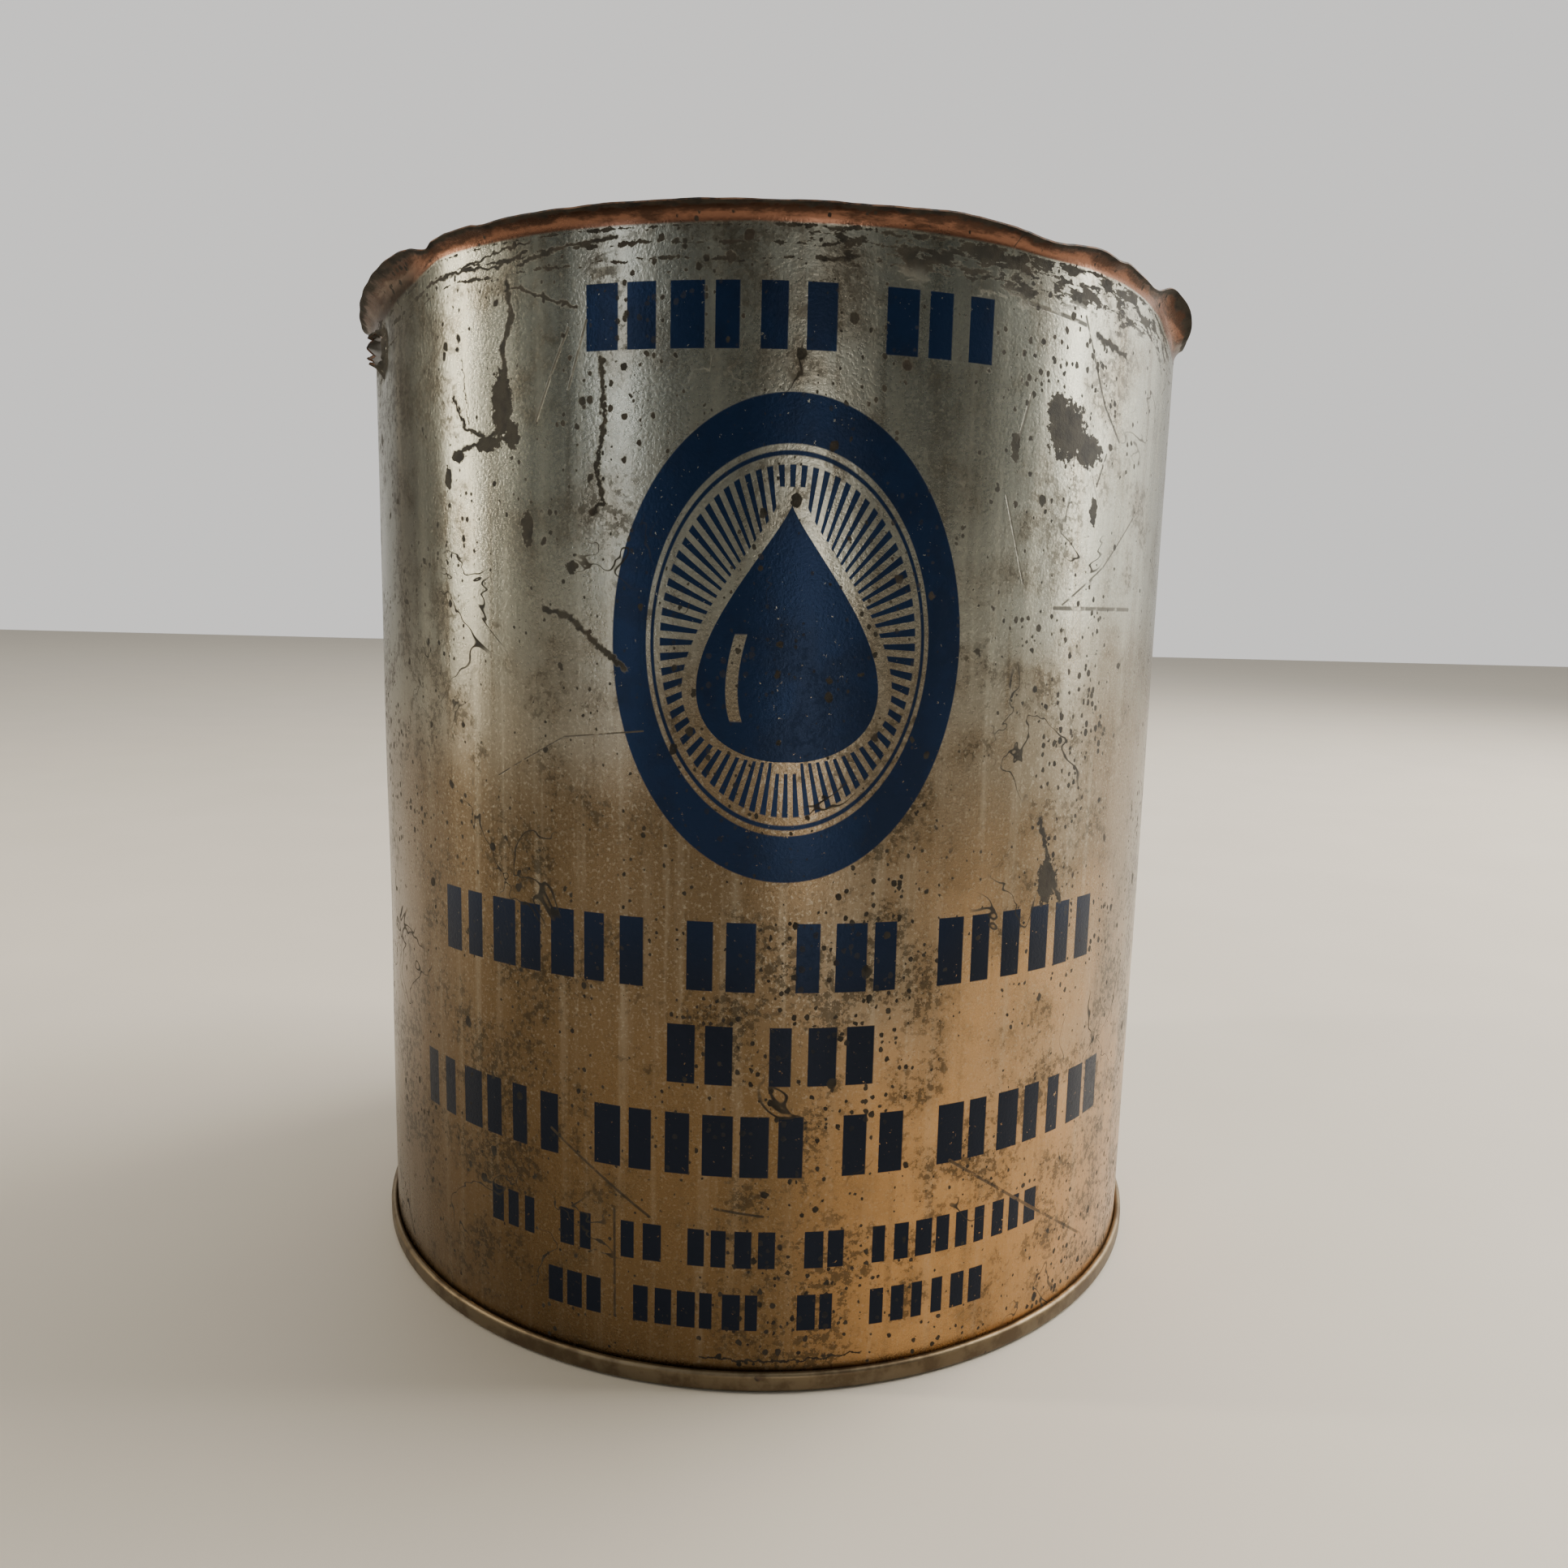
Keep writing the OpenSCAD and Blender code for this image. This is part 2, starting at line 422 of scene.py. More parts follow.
def strip_mesh(name, half_mm, z_low, z_high, near, far):
    """Closed strip along the side seam; near and far give a radius for (share across, azimuth, z)."""
    mesh = bpy.data.meshes.new(name)
    across_n, along_n = 10, 90
    verts = []
    for surface in (near, far):
        for j in range(along_n + 1):
            z = z_low + (z_high - z_low) * j / along_n
            for i in range(across_n + 1):
                u = 2.0 * i / across_n - 1.0
                width = half_mm * (1.0 + 0.06 * noise.noise(Vector((z / MM * 0.12, half_mm, 1.0))))
                az = SEAM_AZ + math.degrees(u * width / WALL_R_MM)
                verts.append(at(az, surface(u, az, z), z))
    wide = across_n + 1
    layer = wide * (along_n + 1)
    faces = []
    for j in range(along_n):
        for i in range(across_n):
            a = j * wide + i
            faces.append((a, a + wide, a + wide + 1, a + 1))
            faces.append((layer + a, layer + a + 1, layer + a + wide + 1, layer + a + wide))
    for j in range(along_n):
        for i in (0, across_n):
            a, b = j * wide + i, (j + 1) * wide + i
            faces.append((a, layer + a, layer + b, b) if i == 0 else (a, b, layer + b, layer + a))
    for i in range(across_n):
        for j in (0, along_n):
            a = j * wide + i
            low_end, high_end = (a, a + 1, layer + a + 1, layer + a), (a + 1, a, layer + a, layer + a + 1)
            faces.append(low_end if j == 0 else high_end)
    mesh.from_pydata(verts, [], faces)
    edit_mesh(mesh, face_outwards)
    return mesh


def make_lock():
    """Folded lock of the side seam, on the inside."""
    inner = WALL_R - BODY_THICK

    def near(u, az, z):
        wave = 0.06 * MM * noise.noise(Vector((z / MM * 0.3, u, 6.0)))
        from_end = min(z - LOCK_LOW, LOCK_HIGH - z) - 0.5 * MM
        fold = LOCK_EDGE + LOCK_FOLD * smooth(from_end / LOCK_TAPER) + wave
        return inner + wall_offset(az, z) - fold * (1.0 - u ** 8)

    def far(u, az, z):
        return inner + wall_offset(az, z) + 0.06 * MM

    mesh = strip_mesh("side_lock", SEAM_HALF_MM, LOCK_LOW, LOCK_HIGH, near, far)
    return make_object("side_lock", mesh, [tin_inside()])


def make_solder():
    """Wiped line of solder on the outside, thin and a little lumpy."""

    def near(u, az, z):
        lumps = 0.5 + 0.5 * noise.noise(Vector((z / MM * 0.22, u * 0.9, 3.0)))
        height = (0.05 + 0.07 * lumps) * MM * (1.0 - u * u)
        return min(WALL_R + wall_offset(az, z) + seam_step(az) + height, SOLDER_HIGH.y + 0.35 * MM)

    def far(u, az, z):
        return WALL_R + wall_offset(az, z) + seam_step(az) - 0.03 * MM

    mesh = strip_mesh("side_seam_solder_line", 2.0, SOLDER_LOW.z, SOLDER_HIGH.z, near, far)
    return make_object("solder_line", mesh, [dull_solder()])


# -------------------- the bottom end

END_COLUMNS = 360
RING_COUNT = 4
RING_GAP = 8.5 * MM
RING_LAST_R = 68.0 * MM
RING_WIDTH = 5.0 * MM
RING_RISE = 0.9 * MM
SEAM_BEND = 0.5 * MM
CURL_Z = 2.5 * MM


def end_profile():
    """Middle line of the pressed end as (radius, height), from near the axis to the cover hook's tip."""
    body_mid = WALL_R - BODY_THICK / 2
    chuck = body_mid - 0.35 * MM
    outer = SEAM_R - END_THICK / 2
    cover = body_mid + 0.42 * MM
    curl = (outer - cover) / 2
    flat = END_THICK / 2
    line = [(r * MM, PANEL_Z) for r in (0.4, 6, 14, 22, 30, 36)]
    for k in range(RING_COUNT):
        middle = RING_LAST_R - (RING_COUNT - 1 - k) * RING_GAP
        for i in range(11):
            t = i / 10
            rise = RING_RISE * (1 - math.cos(2 * math.pi * t)) / 2
            line.append((middle + (t - 0.5) * RING_WIDTH, PANEL_Z + rise))
    line += arc((chuck - 0.8 * MM, PANEL_Z - 0.8 * MM), 0.8 * MM, 90, 0, 7)
    line += arc((chuck + SEAM_BEND, flat + SEAM_BEND), SEAM_BEND, 180, 270, 7)
    line += arc((outer - SEAM_BEND, flat + SEAM_BEND), SEAM_BEND, 270, 360, 7)
    line += arc((outer - curl, CURL_Z), curl, 0, 180, 10)
    line.append((cover, 1.15 * MM))
    return line


def make_end():
    """Pressed end: its profile turned round the axis, a little uneven, with a flat cap in the middle."""
    columns = [360.0 * k / END_COLUMNS - 180.0 for k in range(END_COLUMNS)]
    rows = end_profile()
    wall_line = WALL_R - 0.6 * MM

    def point(az, row):
        r, z = row
        wobble = 0.035 * MM * round_noise(az, 0, 60, 0, 31.0)
        wobble += 0.02 * MM * round_noise(az, z / MM, 14, 0, 33.0)
        rim_share = smooth((r - wall_line) / (0.9 * MM)) * smooth((z - 0.3 * MM) / (0.8 * MM))
        panel_share = 1.0 - smooth((r - RING_LAST_R) / (6 * MM))
        sag = 0.16 * MM * round_noise(az, r / MM, r / MM * 0.14, 0.02, 37.0) * panel_share
        return at(az, r - abs(wobble) * rim_share, z + sag + 1.6 * wobble * rim_share)

    def cap_middle(work):
        work.verts.ensure_lookup_table()
        work.faces.new([work.verts[i] for i in range(END_COLUMNS)])
        face_outwards(work)

    mesh = closed_grid("bottom_end_sheet", columns, rows, point)
    edit_mesh(mesh, cap_middle)
    piece = make_object("pressed_bottom_end", mesh, [tin_end()])
    thicken(piece, END_THICK, 0.0, False)
    return piece


# -------------------- shader building

class Graph:
    """Builds the nodes of one material or world. Values are sockets or plain numbers."""

    def __init__(self, owner):
        self.owner = owner
        owner.use_nodes = True
        self.tree = owner.node_tree
        self.tree.nodes.clear()

    def put(self, socket, value):
        if isinstance(value, bpy.types.NodeSocket):
            self.tree.links.new(value, socket)
        elif value is not None:
            socket.default_value = value

    def node(self, kind, **settings):
        made = self.tree.nodes.new(kind)
        for key, value in settings.items():
            setattr(made, key, value)
        return made

    def math(self, operation, a, b=None, c=None):
        made = self.node("ShaderNodeMath", operation=operation)
        for socket, value in zip(made.inputs, (a, b, c)):
            self.put(socket, value)
        return made.outputs[0]

    def add(self, *values):
        total = values[0]
        for value in values[1:]:
            total = self.math("ADD", total, value)
        return total

    def mul(self, *values):
        product = values[0]
        for value in values[1:]:
            product = self.math("MULTIPLY", product, value)
        return product

    def sub(self, a, b):
        return self.math("SUBTRACT", a, b)

    def top(self, *values):
        """Largest of several values."""
        most = values[0]
        for value in values[1:]:
            most = self.math("MAXIMUM", most, value)
        return most

    def flip(self, a):
        return self.sub(1.0, a)

    def length(self, a, b):
        """Length of the vector (a, b)."""
        return self.math("SQRT", self.add(self.mul(a, a), self.mul(b, b)))

    def sway(self, value, size):
        """A noise turned into a shift either way round zero."""
        return self.mul(self.sub(value, 0.5), size)

    def step(self, value, low, high):
        """0 at low and 1 at high, with a smooth slope; low may be above high."""
        made = self.node("ShaderNodeMapRange", interpolation_type="SMOOTHSTEP")
        reverse = low > high
        for key, number in (("Value", value), ("From Min", min(low, high)), ("From Max", max(low, high))):
            self.put(made.inputs[key], number)
        self.put(made.inputs["To Min"], 1.0 if reverse else 0.0)
        self.put(made.inputs["To Max"], 0.0 if reverse else 1.0)
        return made.outputs[0]

    def band(self, value, low, high, soft):
        """1 between low and high, with soft edges."""
        rise = self.step(value, low - soft, low + soft)
        return self.mul(rise, self.step(value, high + soft, high - soft))

    def stretch(self, vector, factors, shift=(0.0, 0.0, 0.0)):
        """A position scaled by three factors, then shifted."""
        made = self.node("ShaderNodeMapping", vector_type="POINT")
        self.put(made.inputs["Vector"], vector)
        self.put(made.inputs["Scale"], factors)
        self.put(made.inputs["Location"], shift)
        return made.outputs[0]

    def noise(self, vector, size, detail=2.0, rough=0.5, distortion=0.0, dimensions="3D"):
        """Noise from 0 to 1 whose lumps are about size across, in the vector's own units."""
        made = self.node("ShaderNodeTexNoise", noise_dimensions=dimensions)
        self.put(made.inputs["W" if dimensions == "1D" else "Vector"], vector)
        self.put(made.inputs["Scale"], 1.0 / size)
        self.put(made.inputs["Detail"], detail)
        self.put(made.inputs["Roughness"], rough)
        self.put(made.inputs["Distortion"], distortion)
        return made.outputs["Fac"]

    def cells(self, vector, size):
        """Distance to the nearest cell point, and that cell's own random value."""
        made = self.node("ShaderNodeTexVoronoi")
        self.put(made.inputs["Vector"], vector)
        self.put(made.inputs["Scale"], 1.0 / size)
        split = self.node("ShaderNodeSeparateColor")
        self.put(split.inputs[0], made.outputs["Color"])
        return made.outputs["Distance"], split.outputs[0]

    def mix(self, share, a, b):
        """Mix of two colours, given as (r, g, b) or sockets."""
        made = self.node("ShaderNodeMix", data_type="RGBA")
        self.put(made.inputs[0], share)
        for socket, value in ((made.inputs[6], a), (made.inputs[7], b)):
            self.put(socket, (*value, 1.0) if isinstance(value, tuple) else value)
        return made.outputs[2]

    def between(self, share, a, b):
        """Mix of two numbers."""
        return self.add(a, self.mul(share, self.sub(b, a)))

    def attribute(self, name, output="Fac"):
        return self.node("ShaderNodeAttribute", attribute_name=name).outputs[output]

    def finish(self, colour, metallic, roughness, height_mm, anisotropic=0.0, specular=0.5):
        """Principled surface, with the bump height in millimetres."""
        bump_node = self.node("ShaderNodeBump")
        self.put(bump_node.inputs["Strength"], 1.0)
        self.put(bump_node.inputs["Distance"], MM)
        self.put(bump_node.inputs["Height"], height_mm)
        shader = self.node("ShaderNodeBsdfPrincipled")
        self.put(shader.inputs["Base Color"], colour)
        self.put(shader.inputs["Metallic"], metallic)
        self.put(shader.inputs["Roughness"], roughness)
        self.put(shader.inputs["Specular IOR Level"], specular)
        self.put(shader.inputs["Normal"], bump_node.outputs[0])
        if anisotropic:
            self.put(shader.inputs["Anisotropic"], anisotropic)
            self.put(shader.inputs["Anisotropic Rotation"], 0.25)
            tangent = self.node("ShaderNodeTangent", direction_type="RADIAL", axis="Z")
            self.put(shader.inputs["Tangent"], tangent.outputs[0])
        output = self.node("ShaderNodeOutputMaterial")
        self.put(output.inputs["Surface"], shader.outputs[0])
        return self.owner


# -------------------- wear that several materials share

def place_mm(g):
    """Position on the piece in millimetres: the vector, the height and the distance from the can's axis."""
    vector = g.stretch(g.node("ShaderNodeTexCoord").outputs["Object"], (1000.0, 1000.0, 1000.0))
    split = g.node("ShaderNodeSeparateXYZ")
    g.put(split.inputs[0], vector)
    x, y, z = split.outputs
    return vector, z, g.length(x, y)


def pits(g, vector, size, density, seed):
    """Ragged round spots; density from 0 to 1 says how many cells hold one."""
    moved = g.stretch(vector, (1.0, 1.0, 0.86), (seed, seed * 1.7, -seed))
    ragged = g.sway(g.noise(moved, size * 0.45, 2.0), 0.42)
    far, lot = g.cells(moved, size)
    radius = g.mul(g.sub(density, lot), 0.9)
    return g.step(g.sub(g.add(far, ragged), radius), 0.03, -0.05)


def squiggles(g, vector, size, width, presence):
    """Thin wandering lines where a noise crosses its middle value."""
    wander = g.noise(vector, size, 3.0, 0.55, 0.6)
    line = g.math("ABSOLUTE", g.sub(wander, 0.5))
    return g.mul(g.step(line, width, width * 0.35), presence)


def stroke(g, around, z, points, width):
    """Scratch along a chain of (around, z) points in millimetres."""
    nearest = None
    for (x0, z0), (x1, z1) in zip(points, points[1:]):
        dx, dz = x1 - x0, z1 - z0
        squared = dx * dx + dz * dz
        px, pz = g.sub(around, x0), g.sub(z, z0)
        along = g.add(g.mul(px, dx / squared), g.mul(pz, dz / squared))
        along = g.math("MAXIMUM", 0.0, g.math("MINIMUM", along, 1.0))
        far_x, far_z = g.sub(px, g.mul(along, dx)), g.sub(pz, g.mul(along, dz))
        far = g.length(far_x, far_z)
        nearest = far if nearest is None else g.math("MINIMUM", nearest, far)
    return g.step(nearest, width, width * 0.4)


def strokes(g, around, z, table):
    """All the strokes of a table of (points, half width)."""
    total = 0.0
    for points, width in table:
        total = g.top(total, stroke(g, around, z, points, width))
    return total


# Scratches and corroded cracks, as chains of (around, height) in millimetres with a half width
SCRATCHES = [
    ([(48, 124), (70.5, 124.2)], 0.45), ([(69.6, 139.2), (60.3, 130.8), (49.9, 124.6)], 0.22),
    ([(32.2, 35.9), (50, 23.5), (67.4, 11.8)], 0.35), ([(-33.8, 39.7), (-16.5, 27.8)], 0.3),
    ([(-22.4, 28.2), (-22.3, 10.1)], 0.3),
    ([(51.6, 168.1), (54.1, 163.8), (58.4, 155.9), (63, 150.8)], 0.3),
    ([(59.4, 148.5), (56.9, 143.3)], 0.25), ([(38.4, 148.2), (40.6, 155.4)], 0.3),
    ([(36.7, 140.4), (41, 127.5)], 0.2), ([(-30.1, 161.9), (-32.5, 157), (-35.9, 149.3)], 0.28),
    ([(-27.1, 162.8), (-30.1, 153.5)], 0.25), ([(39.4, 168), (51.7, 166.9)], 0.45),
    ([(-6.1, 30.2), (1.5, 29.2)], 0.28), ([(-44, 96), (-31, 103), (-18, 104.5)], 0.16),
    ([(110, 120), (128, 96)], 0.25), ([(-140, 70), (-118, 88)], 0.25), ([(190, 140), (206, 112)], 0.3),
]
CRACKS = [
    ([(-34.6, 122.1), (-30.3, 121), (-26.1, 117.5), (-20.9, 113.5)], 0.72),
    ([(-24.8, 157.5), (-24.2, 148.7), (-25.5, 142), (-24.2, 137.4), (-26.5, 135.8)], 0.55),
    ([(-41.3, 169.4), (-40.3, 164.3), (-42.4, 160.1), (-41.6, 156)], 0.78),
    ([(-39.9, 168.5), (-28.5, 164.5)], 0.45), ([(-51, 172.4), (-43.5, 173.6), (-36.7, 174.4)], 0.3),
    ([(-60.3, 171.4), (-51, 172.2), (-43.2, 171.6)], 0.4), ([(-43.2, 171.6), (-37.4, 173)], 0.55),
    ([(-39.1, 171.3), (-33, 172.7), (-22.3, 173.7)], 0.42),
    ([(-53.5, 154.1), (-50.8, 149.4), (-43.3, 146.2)], 0.45), ([(-51.4, 159.4), (-49.9, 149.9)], 0.16),
    ([(55, 165.9), (63.7, 164.2)], 0.75), ([(47.5, 90.5), (50, 83), (53.4, 76.3)], 0.7),
    ([(-8.3, 4.9), (4.6, 4.5), (17.8, 5.2)], 0.25), ([(-53.5, 145.5), (-45.6, 147.4), (-42, 149)], 0.5),
]
# Centre (around, height), half width and half height of the large stains, in millimetres
STAINS = [
    (48.8, 150.9, 4.4, 4.6), (54.0, 148.6, 3.6, 2.6), (46.2, 153.6, 2.2, 2.6), (-42.6, 152.0, 2.1, 5.4),
    (-40.6, 147.6, 1.6, 2.0), (-37.6, 134, 1.1, 2.6), (56.4, 139.5, 1.0, 2.3), (49.8, 80.2, 2.2, 3.8),
    (-46, 146.6, 2.4, 1.2), (38, 147.6, 0.8, 2.4), (-55.2, 141.8, 0.9, 1.9), (-52.4, 145.0, 1.7, 0.8),
    (-29.6, 128.3, 1.1, 1.0), (-83.5, 165.4, 3.4, 4.8),
]


FAR_OFF = 9.0


def stains(g, around, z, ragged):
    """Large flat patches of corrosion, with ragged outlines."""
    nearest = FAR_OFF
    for x0, z0, wide, high in STAINS:
        far_x = g.mul(g.sub(around, x0), 1.0 / wide)
        far_z = g.mul(g.sub(z, z0), 1.0 / high)
        far = g.length(far_x, far_z)
        nearest = g.math("MINIMUM", nearest, far)
    return g.step(g.add(nearest, g.mul(ragged, 1.9)), 1.06, 0.96)


# -------------------- the print

# Rows of plain blocks: low and high edge, start, block pitch, and the runs of blocks between gaps, in mm
PRINT_ROWS = [
    (158.5, 167.6, -27.1, 6.39, (6, 3), 4.9), (65.4, 76.2, -57.9, 6.05, (7, 2, 3, 6), 4.55),
    (50.5, 59.9, -13.9, 5.95, (2, 3), 3.9), (35.6, 45.6, -65.5, 5.9, (6, 6, 2, 7), 4.2),
    (20.4, 26.6, -47.0, 3.72, (3, 2, 2, 4, 2, 9), 3.55), (9.8, 15.9, -34.6, 3.62, (3, 6, 2, 6), 4.6),
]
BADGE_X, BADGE_Z = 3.4, 117.7
BADGE_HALF_W, BADGE_HALF_H = 26.3, 35.2
DROP_LOW, DROP_HIGH, DROP_HALF_W = 100.5, 137.5, 13.2
RAY_COUNT = 72


def print_row(g, around, z, row):
    """One row of plain upright blocks of uneven widths, in runs with gaps between them."""
    low, high, start, pitch, runs, gap = row
    marks = 0.0
    for count in runs:
        place = g.mul(g.sub(around, start), 1.0 / pitch)
        inside = g.band(place, 0.0, count - 0.12, 0.015)
        cell = g.math("FLOOR", place)
        share = g.sub(place, cell)
        lot = g.math("FRACT", g.mul(g.math("SINE", g.add(g.mul(cell, 12.9898), start)), 43.5))
        width = g.add(0.52, g.mul(lot, 0.30))
        marks = g.top(marks, g.mul(inside, g.step(g.sub(share, width), 0.02, -0.02)))
        start += count * pitch + gap
    return g.mul(marks, g.band(z, low, high, 0.08))


def whole_print(g, around, z):
    """The badge and all the rows of blocks."""
    ink = badge(g, around, z)
    for row in PRINT_ROWS:
        ink = g.top(ink, print_row(g, around, z, row))
    return ink


def badge(g, around, z):
    """Generic oval badge: a solid ring, fine engraved rays and a plain drop in the middle."""
    x = g.sub(around, BADGE_X)
    y = g.sub(z, BADGE_Z)
    oval_x, oval_y = g.mul(x, 1.0 / BADGE_HALF_W), g.mul(y, 1.0 / BADGE_HALF_H)
    far = g.length(oval_x, oval_y)
    ring = g.band(far, 0.80, 1.0, 0.004)
    hairline = g.band(far, 0.755, 0.775, 0.004)
    turn = g.math("ARCTAN2", oval_y, oval_x)
    saw = g.math("PINGPONG", g.mul(turn, RAY_COUNT / math.tau), 0.5)
    thick = g.add(0.05, g.mul(far, 0.30))
    rays = g.mul(g.step(g.sub(saw, thick), 0.02, -0.02), g.band(far, 0.0, 0.72, 0.004))
    t = g.mul(g.sub(z, DROP_LOW), 1.0 / (DROP_HIGH - DROP_LOW))
    t = g.math("MAXIMUM", 0.0, g.math("MINIMUM", t, 1.0))
    half = g.mul(g.math("POWER", t, 0.5), g.math("POWER", g.flip(t), 1.25), DROP_HALF_W / 0.345)
    side = g.sub(g.math("ABSOLUTE", x), half)
    drop = g.mul(g.step(side, 0.06, -0.06), g.band(t, 0.002, 0.998, 0.001))
    halo = g.step(side, 2.2, 2.0)
    halo = g.mul(halo, g.band(z, DROP_LOW - 1.6, DROP_HIGH + 2.4, 0.1))
    shine = g.band(g.add(g.mul(x, 0.9), g.mul(half, 0.55)), -0.8, 0.8, 0.08)
    shine = g.mul(shine, g.band(t, 0.16, 0.50, 0.006))
    field = g.mul(rays, g.flip(halo))
    return g.top(ring, hairline, field, g.mul(drop, g.flip(shine)))


# -------------------- materials

TIN_COOL = (0.335, 0.338, 0.292)
# golden brown of the lower wall: a painted warm reflection
TIN_WARM_REFLECTION = (0.45, 0.245, 0.088)
TIN_BROWN = (0.105, 0.072, 0.038)
# pale tin of the painted glints
TIN_PAINTED_GLINT = (0.6, 0.575, 0.47)
TIN_INSIDE = (0.42, 0.36, 0.25)
RUST_BLOOM = (0.27, 0.155, 0.075)
# lip's copper: a painted warm reflection in the flared lip
LIP_COPPER_REFLECTION = (0.185, 0.092, 0.060)
LIP_BROWN = (0.055, 0.031, 0.022)
LIP_GREY = (0.15, 0.112, 0.088)
CORROSION = (0.031, 0.027, 0.020)
CORROSION_DARK = (0.012, 0.011, 0.009)
RUST = (0.082, 0.041, 0.022)
INK = (0.006, 0.019, 0.056)
INK_DEEP = (0.005, 0.009, 0.02)
BURNT = (0.040, 0.037, 0.033)
EDGE_RUST = (0.13, 0.062, 0.032)
EDGE_BRIGHT = (0.19, 0.105, 0.062)
END_GREY = (0.34, 0.30, 0.225)
END_TAN = (0.25, 0.20, 0.135)
END_GRIME = (0.13, 0.09, 0.055)
# the seam's dull tan brown, darkened as painted shade at the foot
SEAM_TAN_AND_SHADE = (0.15, 0.112, 0.066)
SEAM_WORN = (0.24, 0.18, 0.11)
SEAM_DARK = (0.07, 0.047, 0.028)
FOOT_WORN = (0.26, 0.22, 0.16)
SOLDER_DULL = (0.2, 0.19, 0.165)
SOLDER_BRIGHT = (0.35, 0.34, 0.31)
SOLDER_STAIN = (0.15, 0.10, 0.06)
COMPOUND_DARK = (0.045, 0.038, 0.028)
COMPOUND_BROWN = (0.10, 0.085, 0.06)
FLOOR_DARK = (0.56, 0.505, 0.425)
FLOOR_PALE = (0.62, 0.56, 0.48)


# Noise offset, height over the crease, half width and sway of the broken lines under the lip, in mm
CREASE_LINES = [(0.0, -0.1, 0.26, 0.5), (37.0, -2.3, 0.30, 2.4), (71.0, -4.4, 0.24, 3.2)]


def rim_corrosion(g, flat, around, from_crease):
    """Dark crust under the lip: a heavy band right of the middle, and broken lines along the crease."""
    crust = g.noise(g.stretch(flat, (0.40, 0.0, 1.0)), 2.3, 5.0, 0.68)
    heavy = g.band(around, 4.0, 86.0, 9.0)
    behind = g.top(g.band(around, 120.0, 190.0, 14.0), g.band(around, -215.0, -160.0, 14.0))
    heavy = g.top(heavy, g.mul(behind, 0.75))
    drift = g.sway(g.noise(around, 11.0, 2.0, dimensions="1D"), 7.0)
    reach = g.add(-2.4, g.mul(heavy, -4.8), drift)
    depth = g.step(g.sub(from_crease, reach), -0.8, 3.0)
    below = g.step(from_crease, 0.25, -0.25)
    limit = g.sub(0.73, g.add(g.mul(heavy, 0.16), g.mul(depth, 0.07)))
    patchy = g.mul(g.step(g.sub(crust, limit), -0.012, 0.02), depth, below)
    marks = patchy
    for seed, lower, width, sway in CREASE_LINES:
        wave = g.sway(g.noise(g.add(around, seed), 12.0, 3.0, 0.6, dimensions="1D"), sway)
        course = g.sub(from_crease, g.add(wave, lower))
        broken = g.noise(g.add(around, seed * 2.0), 7.0, 2.0, dimensions="1D")
        thick = g.mul(g.step(broken, 0.48, 0.62), width)
        moved = g.stretch(flat, (1.0, 0.0, 1.0), (0.0, seed, 0.0))
        edge = g.sway(g.noise(moved, 1.1, 4.0, 0.65), 1.5)
        line = g.step(g.sub(g.add(g.math("ABSOLUTE", course), edge), thick), 0.04, -0.04)
        marks = g.top(marks, line)
    return marks


